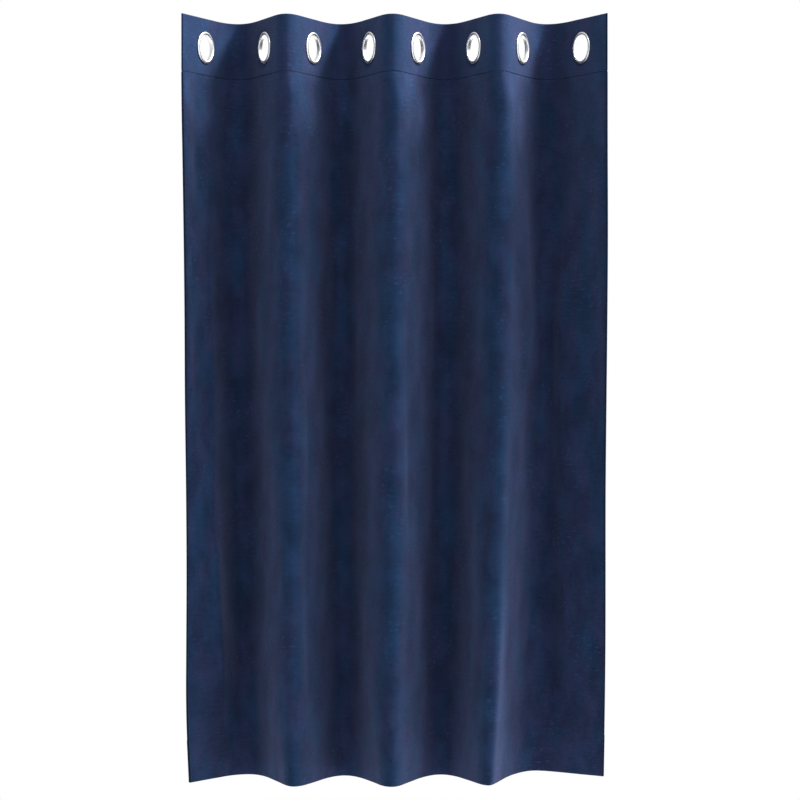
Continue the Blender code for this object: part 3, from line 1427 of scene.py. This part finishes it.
@dataclass(frozen=True)
class Panel:
    """The long hanging cloth, with its sides and its lower edge turned to the back.

    Attributes:
        front_half: Distance of the front face from the middle.
        back_half: Distance of the back face from the middle, away from the hems.
        turning: Thickness that a turned hem adds to the back.
        side_hem: Width of the side hems.
        lower_hem: Height of the lower hem.
        hem_slope: Width over which a hem's thickness starts.
        hem_overlap: Share of its thickness that a second hem adds where two lie on each other.
        roll: Radius of the rolled edges.
        bead: How much thicker a side edge is where it is rolled over.
        bead_middle: Distance of the bead from the edge.
        bead_reach: How far from its middle the bead has nearly died out.
        dent: Depth of the dent beside the bead, in the front face.
        dent_middle: Distance of the dent from the edge.
        dent_reach: How far from its middle the dent has nearly died out.
        groove: Radius of the edge at the seam.
        ripple: Gathers beside the seam.
        column: Largest width of the grid's cells.
        row: Largest height of the grid's cells.
        edge_shade_line: Width of the line of darker pile, painted shade, along its side edges.
        foot_shade_line: Height of the line of darker pile, painted shade, along its foot.
        seam_shade_line: Height of the line of darker pile, painted shade, along the seam.
    """

    front_half: float = 1.2 * MM
    back_half: float = 0.9 * MM
    turning: float = 1.1 * MM
    side_hem: float = 26.0 * MM
    lower_hem: float = 76.0 * MM
    hem_slope: float = 1.6 * MM
    hem_overlap: float = 0.7
    roll: float = 1.7 * MM
    bead: float = 0.6 * MM
    bead_middle: float = 2.2 * MM
    bead_reach: float = 1.9 * MM
    dent: float = 1.25 * MM
    dent_middle: float = 5.2 * MM
    dent_reach: float = 1.6 * MM
    groove: float = 1.9 * MM
    ripple: SeamRipple = SeamRipple(0.12 * MM, 9.0 * MM, 12.0 * MM)
    column: float = 4.2 * MM
    row: float = 11.5 * MM
    edge_shade_line: float = 1.9 * MM
    foot_shade_line: float = 1.14 * MM
    seam_shade_line: float = 0.5 * MM

    def grid_lines(self, cloth: HangingCloth) -> tuple[Array, Array]:
        """Places of the grid's lines.

        Args:
            cloth: The way the panel hangs.

        Returns:
            Arcs of the columns, and distances of the rows below the seam.
        """
        side = (0.0, 0.2, 0.6, 1.1, 1.9, 2.8, 3.7, 4.6, 5.6, 7.2, 10.0, 14.0, 20.0, 25.2, 26.8)
        top = (0.0, 0.25, 0.8, 1.6, 3.0, 6.0, 12.0)
        hem = (0.0, 0.2, 0.6, 1.2, 2.0, 4.0, 9.0, 20.0, 33.0, 46.0, 59.0, 69.0, 75.2, 76.8)
        return (
            fine_and_coarse(cloth.drape.width(), side, side, self.column),
            fine_and_coarse(cloth.length, top, hem, self.row),
        )

    def hem_lift(self, from_side: Array, from_hem: Array) -> Array:
        """What the turned hems add to the back.

        Args:
            from_side: Distances from the nearer side edge.
            from_hem: Distances from the lower edge.

        Returns:
            Lifts in metres.
        """
        slope = self.hem_slope
        side = np.clip((self.side_hem + slope / 2.0 - from_side) / slope, 0.0, 1.0)
        lower = np.clip((self.lower_hem + slope / 2.0 - from_hem) / slope, 0.0, 1.0)
        return self.turning * (np.maximum(side, lower) + self.hem_overlap * np.minimum(side, lower))

    def slots(self, from_side: Array, below: Array, from_hem: Array) -> tuple[Array, Array]:
        """Choose the finish of each cell: 0 for velvet, 1 for the woven back and 2 for darker pile as painted
        shade.

        Args:
            from_side: Distances of the grid's points from the nearer side edge.
            below: Their distances below the seam.
            from_hem: Their distances from the lower edge.

        Returns:
            Slots of the front face and of the back face.
        """
        side, seam, hem = cell_middles(from_side), cell_middles(below), cell_middles(from_hem)
        # Cells by the edges, the seam and the foot get darker pile: painted shade of the rolled edges and the
        # groove.
        edge = (side < self.edge_shade_line) | (seam < self.seam_shade_line) | (hem < self.foot_shade_line)
        turned = (side < self.side_hem) | (hem < self.lower_hem)
        return np.where(edge, 2, 0), np.where(edge, 2, np.where(turned, 0, 1))

    def dress(
        self,
        cloth: HangingCloth,
        velvet: Material,
        woven: Material,
        edge_shade_velvet: Material,
    ) -> bpy.types.Object:
        """Build the panel.

        Args:
            cloth: The way it hangs.
            velvet: Finish of the face, and of the turned hems on the back.
            woven: Finish of the rest of the back.
            edge_shade_velvet: Finish of the darker pile that paints the shade along its edges.

        Returns:
            The piece.
        """
        arcs, belows = self.grid_lines(cloth)
        middle, normal = cloth.middle(arcs, belows)
        level = np.zeros(middle.shape[:2])
        below = belows[:, None] + level
        from_side = np.minimum(arcs, cloth.drape.width() - arcs)[None, :] + level
        from_hem = cloth.length - below
        share = rounded_share(from_side, self.roll, EDGE_SHARE)
        share = share * rounded_share(from_hem, self.roll, EDGE_SHARE)
        share = share * rounded_share(below, self.groove, SEAM_SHARE)
        bead = self.bead * bell(from_side, self.bead_middle, self.bead_reach)
        dent = self.dent * bell(from_side, self.dent_middle, self.dent_reach)
        pulled = self.ripple.lift(arcs[None, :], below)
        front = middle + normal * ((self.front_half + bead - dent + pulled) * share)[..., None]
        hem = self.hem_lift(from_side, from_hem)
        back = middle - normal * ((self.back_half + bead + hem) * share)[..., None]
        flat = np.stack([arcs[None, :] + level, -cloth.drape.seam - below], 2)
        front_slot, back_slot = self.slots(from_side, below, from_hem)
        keep = np.ones(front_slot.shape, bool)
        grid = ClothGrid(front, back, flat, keep, front_slot, back_slot, rim_slot=2)
        piece = grid.build("velvet_panel", [velvet, woven, edge_shade_velvet])
        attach(piece, "root")
        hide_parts("panel")
        return piece


@dataclass(frozen=True)
class Sewing:
    """The rows of stitches: along the seam on both faces, and along the hems on the back.

    Attributes:
        pitch: Distance from one stitch to the next.
        inset: Distance of the hems' stitches from the inner edge of the hem.
        seam_depth: Distance of the seam's stitches from the middle of the cloth.
        seam_margins: Cloth left free at the left and right end of the seam's row.
        side_margins: Cloth left free at the upper and lower end of a side hem's row.
        probe: Length over which the run of the cloth is felt at a stitch.
        stitch: Shape of one stitch.
    """

    pitch: float = 3.9 * MM
    inset: float = 3.0 * MM
    seam_depth: float = 0.35 * MM
    seam_margins: tuple[float, float] = (5.0 * MM, 4.0 * MM)
    side_margins: tuple[float, float] = (8.0 * MM, 6.0 * MM)
    probe: float = 1.0 * MM
    stitch: Stitch = Stitch()

    def seam_row(self, drape: Drape, side: Side) -> StitchRow:
        """Stitches along the seam under the heading.

        Args:
            drape: The way the cloth hangs.
            side: Face of the cloth.

        Returns:
            The row.
        """
        left, right = self.seam_margins
        arcs = np.arange(left, drape.width() - right, self.pitch)
        place, along, _ = drape.surface(arcs, np.zeros(1))
        normal = front_normals(along[0]) * side.value
        middle = np.concatenate([place[0], np.full((len(arcs), 1), -drape.seam)], 1)
        direction = np.concatenate([along[0], np.zeros((len(arcs), 1))], 1)
        return StitchRow(middle + normal * self.seam_depth, direction, normal)

    def back_row(
        self,
        cloth: HangingCloth,
        panel: Panel,
        arcs: Array,
        belows: Array,
        vertical: bool,
    ) -> StitchRow:
        """Stitches on the hems, on the back face.

        Args:
            cloth: The way the panel hangs.
            panel: The panel's sizes.
            arcs: Arcs of the stitches, or the one arc that they share.
            belows: Distances of the stitches below the seam, or the one that they share.
            vertical: Whether they run down the cloth or along it.

        Returns:
            The row.
        """
        def on_back(right: float, down: float) -> Array:
            """Points on the hems' back face, a little to the right of the stitches or below them."""
            middle, normal = cloth.middle(arcs + right, belows + down)
            return (middle - normal * (panel.back_half + panel.turning)).reshape(-1, 3)

        here = on_back(0.0, 0.0)
        beside = on_back(self.probe, 0.0) - here
        under = on_back(0.0, self.probe) - here
        step = under if vertical else beside
        out = np.cross(under, beside)
        out *= np.sign(out[:, 1:2]) / np.linalg.norm(out, axis=1, keepdims=True)
        return StitchRow(here, step / np.linalg.norm(step, axis=1, keepdims=True), out)

    def lower_hem_row(self, cloth: HangingCloth, panel: Panel) -> StitchRow:
        """Stitches along the top of the lower hem, on the back.

        Args:
            cloth: The way the panel hangs.
            panel: The panel's sizes.

        Returns:
            The row.
        """
        arcs = np.arange(panel.side_hem, cloth.drape.width() - panel.side_hem, self.pitch)
        below = cloth.length - panel.lower_hem + self.inset
        return self.back_row(cloth, panel, arcs, np.array([below]), vertical=False)

    def side_hem_row(self, cloth: HangingCloth, panel: Panel, right: bool) -> StitchRow:
        """Stitches down a side hem, on the back.

        Args:
            cloth: The way the panel hangs.
            panel: The panel's sizes.
            right: Whether it is the right one of the two, seen from the front.

        Returns:
            The row.
        """
        inner = panel.side_hem - self.inset
        upper, lower = self.side_margins
        belows = np.arange(upper, cloth.length - lower, self.pitch)
        arc = cloth.drape.width() - inner if right else inner
        return self.back_row(cloth, panel, np.array([arc]), belows, vertical=True)


# Studio

@dataclass(frozen=True)
class SoftBox:
    """A flat studio light.

    Attributes:
        name: Its name.
        place: Where it stands, in metres.
        aim: The point that it faces.
        width: Its width.
        height: Its height.
        power: Its power in watts.
    """

    name: str
    place: Point
    aim: Point
    width: float
    height: float
    power: float

    def hang(self) -> None:
        """Hang the light, which shines white."""
        data = bpy.data.lights.new(self.name, "AREA")
        data.shape = "RECTANGLE"
        data.size, data.size_y = self.width, self.height
        data.energy = self.power
        lamp = in_scene(self.name, data)
        lamp.location = self.place
        way = Vector(self.aim) - Vector(self.place)
        lamp.rotation_euler = way.to_track_quat("-Z", "Y").to_euler()


@dataclass(frozen=True)
class Studio:
    """Camera, lights, white surroundings and floor.

    Attributes:
        eye: Place of the camera.
        focal_pixels: Focal length in pixels of the image.
        horizon: Image row of the camera's own height.
        boxes: The lights.
        surround: Brightness of the white surroundings.
        floor_height: Height of the floor.
        floor_radius: Radius of the floor.
        floor_sides: Sides of the floor's outline.
        sight: How far the camera sees, in metres.
    """

    eye: Point
    focal_pixels: float
    horizon: float
    boxes: tuple[SoftBox, ...]
    surround: float
    floor_height: float
    floor_radius: float
    floor_sides: int = 96
    sight: float = 50.0

    def place_camera(self) -> None:
        """Make the camera at the photo's place."""
        data = bpy.data.cameras.new("studio_camera")
        data.sensor_width = SENSOR_WIDTH
        data.lens = self.focal_pixels / IMAGE_SIDE * SENSOR_WIDTH
        data.clip_end = self.sight
        camera = in_scene("studio_camera", data)
        tilt = math.atan((IMAGE_SIDE / 2.0 - self.horizon) / self.focal_pixels)
        camera.location = self.eye
        camera.rotation_euler = (math.pi / 2.0 - tilt, 0.0, 0.0)
        bpy.context.scene.camera = camera

    def light_room(self) -> None:
        """Light the surroundings and hang the lights."""
        world = bpy.data.worlds.new("white_surround")
        world.use_nodes = True
        background = world.node_tree.nodes["Background"]
        background.inputs["Color"].default_value = (1.0, 1.0, 1.0, 1.0)
        background.inputs["Strength"].default_value = self.surround
        bpy.context.scene.world = world
        for box in self.boxes:
            box.hang()
        view = bpy.context.scene.view_settings
        view.view_transform = "Standard"
        view.look = "None"

    def lay_floor(self, finish: PaperFloorFinish) -> None:
        """Lay a round pale floor below the curtain.

        Args:
            finish: Finish of the floor.
        """
        turns = [2.0 * math.pi * side / self.floor_sides for side in range(self.floor_sides)]
        ring = [
            (self.floor_radius * math.cos(turn), self.floor_radius * math.sin(turn), self.floor_height)
            for turn in turns
        ]
        mesh = bpy.data.meshes.new("paper_floor")
        mesh.from_pydata(ring, [], [tuple(range(self.floor_sides))])
        mesh.materials.append(finish.material())
        floor = in_scene("paper_floor", mesh)


# This curtain

# What each fold line adds on its way down, as rows of: share of the way down, millimetres to the right,
# millimetres to the back, left bend, right bend. A table leaves out the last columns where it needs none.
LEFT_WANDER = (
    (0.0, 2.8, 0.0),
    (0.05, 3.2, -7.0),
    (0.12, 3.6, -6.0),
    (0.34, 3.4, 0.0),
    (0.46, 2.2, 0.0),
    (0.60, 1.8, 0.0),
    (0.71, 0.6, 0.0),
    (0.81, -1.6, 0.0),
    (0.88, -2.8, 0.0),
    (0.935, -2.0, 0.0),
    (0.96, -0.8, 0.0),
    (1.0, 1.0, 0.0),
)
LEFT_CREST_WANDER = (
    (0.0, 0.0, 0.0, 0.0, 0.0),
    (0.2, -2.0, -3.0, 0.0, 0.0),
    (0.4, -4.0, -13.0, 0.12, 0.15),
    (0.58, -4.5, -37.0, 0.2, 0.25),
    (0.74, 0.5, -36.0, 0.2, 0.25),
    (0.84, 7.5, -21.0, 0.12, 0.15),
    (0.92, 8.0, 7.5, 0.02, 0.02),
    (1.0, 0.0, 0.0, 0.0, 0.0),
)
FAR_1_WANDER = (
    (0.0, 0.0, 0.0, 0.0),
    (0.4, 0.0, 0.0, -0.02),
    (0.58, 0.0, 0.0, -0.05),
    (0.74, 0.0, 0.0, -0.08),
    (0.92, 0.0, 0.0, 0.12),
    (1.0, 0.0, 0.0, 0.0),
)
NEAR_1_WANDER = (
    (0.0, 0.0, 0.0, 0.0),
    (0.03, 5.0, 0.0, 0.05),
    (0.12, 6.5, 0.0, 0.13),
    (0.45, 8.5, 0.0, 0.15),
    (0.66, 8.0, 0.0, 0.15),
    (0.85, 1.0, 0.0, 0.20),
    (1.0, 0.0, 0.0, 0.0),
)
NEAR_2_WANDER = (
    (0.0, 0.0, 0.0, 0.0),
    (0.03, 5.0, -6.0, 0.05),
    (0.12, 6.0, -5.0, 0.13),
    (0.45, 5.0, -3.0, 0.15),
    (0.66, 3.0, -2.0, 0.15),
    (0.85, 1.0, 0.0, 0.20),
    (1.0, 0.0, 0.0, 0.0),
)
NEAR_3_WANDER = (
    (0.0, 0.0, 0.0, 0.0),
    (0.03, 5.0, 6.0, 0.05),
    (0.12, 7.0, 12.0, 0.13),
    (0.45, 7.0, 14.0, 0.15),
    (0.66, 5.0, 8.0, 0.15),
    (0.85, 3.0, 2.0, 0.20),
    (1.0, 0.0, 0.0, 0.0),
)
RIGHT_WANDER = (
    (0.0, 0.5),
    (0.1, 1.2),
    (0.23, 2.5),
    (0.34, 2.4),
    (0.46, 1.7),
    (0.60, 1.2),
    (0.71, 2.0),
    (0.81, 2.6),
    (0.88, 2.3),
    (1.0, 0.7),
)

# The side edges and the left crest move evenly from the heading to the hem.
EDGE_DRIFT = 1.0
DRAPE = Drape(
    folds=(
        FoldLine("left_edge", Station(-377.7, -74.0), Station(-366.0, -29.0), LEFT_WANDER, EDGE_DRIFT),
        FoldLine("left_crest", Station(-338.5, -0.9), Station(-316.0, 39.7), LEFT_CREST_WANDER, EDGE_DRIFT),
        FoldLine(
            "far_fold_1",
            Station(-284.0, 69.5, 0.717, 0.42),
            Station(-265.0, 81.0, 0.843, 0.55),
            FAR_1_WANDER,
        ),
        FoldLine(
            "near_fold_1",
            Station(-190.5, -69.0, 0.22, 0.22),
            Station(-177.0, -77.5, 0.20, 0.25),
            NEAR_1_WANDER,
        ),
        FoldLine("far_fold_2", Station(-96.5, 69.5, 0.38, 0.42), Station(-89.0, 64.5, 0.40, 0.45)),
        FoldLine(
            "near_fold_2",
            Station(-2.0, -69.0, 0.22, 0.22),
            Station(-3.5, -81.0, 0.25, 0.22),
            NEAR_2_WANDER,
        ),
        FoldLine("far_fold_3", Station(93.0, 69.5, 0.38, 0.42), Station(86.5, 76.0, 0.52, 0.48)),
        FoldLine(
            "near_fold_3",
            Station(187.0, -69.0, 0.22, 0.22),
            Station(169.5, -63.0, 0.22, 0.10),
            NEAR_3_WANDER,
        ),
        FoldLine("far_fold_4", Station(278.5, 69.5, 0.38, 0.43), Station(256.5, 100.0, 0.70, 0.25, rise=4.0)),
        FoldLine(
            "right_edge",
            Station(377.7, -76.0),
            Station(378.0, 15.0, rise=5.2),
            RIGHT_WANDER,
            EDGE_DRIFT,
        ),
    )
)

CREASES = (
    Crease("left flank, upper", ((-351, -80), (-350, -240), (-346, -400)), -5.0, 25, 30, 110),
    Crease("left flank, middle", ((-352, -500), (-349, -680), (-345, -860)), -3.0, 24, 30, 100),
    Crease(
        "first ridge, right",
        ((-160, -560), (-153, -760), (-156, -1010), (-150, -1320)),
        -1.3, 14, 20, 160,
    ),
    Crease("second valley, right", ((-62, -260), (-58, -560), (-60, -860)), 1.4, 18, 24, 130),
    Crease("second ridge, right", ((24, -420), (26, -800), (22, -1250)), -1.2, 13, 18, 170),
    Crease("second ridge, lower right", ((24, -850), (24, -1000), (23, -1150)), 0.7, 13, 18, 120),
    Crease("third valley, left", ((66, -330), (62, -640), (60, -1010)), 1.5, 24, 18, 140),
    Crease("third ridge, left", ((148, -760), (142, -1000), (132, -1300)), -0.8, 20, 18, 150),
    Crease("right flank, upper", ((330, -150), (334, -260), (330, -400)), 1.8, 26, 30, 100),
    Crease("right flank, middle", ((318, -330), (316, -520), (316, -900), (322, -1290)), 9.0, 28, 46, 200),
    Crease("right flank, beside it", ((308, -360), (306, -600), (306, -930)), 5.0, 20, 40, 170),
)

NAVY = (0.0077, 0.0146, 0.0382)
# Darker, nearly sheen-free pile that paints the shade of the rolled edges, the seam's groove and the rims.
EDGE_SHADE_NAVY = (0.0034, 0.0062, 0.0165)
BLUE_GLOW = (0.46, 0.54, 1.0)
NAVY_VELVET = VelvetFinish("navy_velvet", NAVY, brush=0.22, crush=1.0, sheen=0.112, sheen_tint=BLUE_GLOW)
HEADING_VELVET = VelvetFinish(
    "heading_velvet", NAVY, brush=0.15, crush=0.7, sheen=0.112, sheen_tint=BLUE_GLOW,
)
EDGE_SHADE_VELVET = VelvetFinish(
    "edge_shade_velvet", EDGE_SHADE_NAVY, brush=0.08, crush=0.3, sheen=0.012, sheen_tint=BLUE_GLOW,
)
WOVEN_BACK = WovenBackFinish(
    "woven_back", thread=(0.015, 0.025, 0.064), gap=(0.006, 0.011, 0.031), pitch=0.0009,
)
NAVY_THREAD = ThreadFinish("navy_thread", (0.034, 0.050, 0.115))
SATIN_NICKEL = SatinNickelFinish("satin_nickel", (0.61, 0.61, 0.62), (0.53, 0.53, 0.55))
STUDIO_PAPER = PaperFloorFinish("studio_paper", (0.93, 0.93, 0.93))

# The two points of the curtain that the lights face.
UPPER_PART = (0.0, 0.0, -0.25)
MIDDLE_PART = (0.0, 0.0, -0.65)
STUDIO = Studio(
    eye=(0.0115, -4.9, -0.6755),
    focal_pixels=2722.4,
    horizon=394.3,
    boxes=(
        SoftBox("key_box", (2.54, 0.18, 2.84), UPPER_PART, 0.75, 1.10, 500.0),
        SoftBox("key_side_box", (1.44, -0.20, 1.90), UPPER_PART, 0.45, 0.45, 37.0),
        SoftBox("front_top_box", (0.0, -1.72, 1.81), MIDDLE_PART, 1.0, 1.0, 47.0),
        SoftBox("right_top_box", (1.84, -1.06, 1.47), MIDDLE_PART, 1.0, 1.0, 46.0),
        SoftBox("right_box", (2.46, -1.72, -0.65), MIDDLE_PART, 1.0, 1.0, 20.0),
        SoftBox("left_box", (-2.30, -1.93, -0.65), MIDDLE_PART, 1.0, 1.0, 4.6),
    ),
    surround=1.0,
    floor_height=-1.95,
    floor_radius=2.6,
)


def main() -> None:
    """Dress the curtain and set up the studio."""
    logging.basicConfig(level=logging.INFO, format="%(message)s")
    velvet, heading_velvet = NAVY_VELVET.material(), HEADING_VELVET.material()
    # The darker pile paints the shade along the cloth's edges and seam.
    edge_shade_velvet, thread = EDGE_SHADE_VELVET.material(), NAVY_THREAD.material()
    cloth = HangingCloth(DRAPE, CREASES)
    eyelets, panel_sizes, sewing = Eyelets(), Panel(), Sewing()
    places = eyelets.places(DRAPE)
    log.info("cloth width %.4f m", DRAPE.width())

    heading = Heading().dress(DRAPE, places, heading_velvet, edge_shade_velvet)
    log.info("velvet_heading: %d faces", len(heading.data.polygons))

    made = eyelets.dress(places, SATIN_NICKEL)
    log.info("eyelets: %d halves", made)

    panel = panel_sizes.dress(cloth, velvet, WOVEN_BACK.material(), edge_shade_velvet)
    log.info("velvet_panel: %d faces", len(panel.data.polygons))

    rows = {
        "seam_stitches": [sewing.seam_row(DRAPE, side) for side in Side],
        "hem_stitches": [
            sewing.lower_hem_row(cloth, panel_sizes),
            sewing.side_hem_row(cloth, panel_sizes, right=False),
            sewing.side_hem_row(cloth, panel_sizes, right=True),
        ],
    }
    for name, stitched in rows.items():
        piece = sew(name, stitched, sewing.stitch, thread)
        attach(piece, "root")
        log.info("%s: %d faces", name, len(piece.data.polygons))

    STUDIO.place_camera()
    STUDIO.light_room()
    STUDIO.lay_floor(STUDIO_PAPER)


if __name__ == "__main__":
    main()
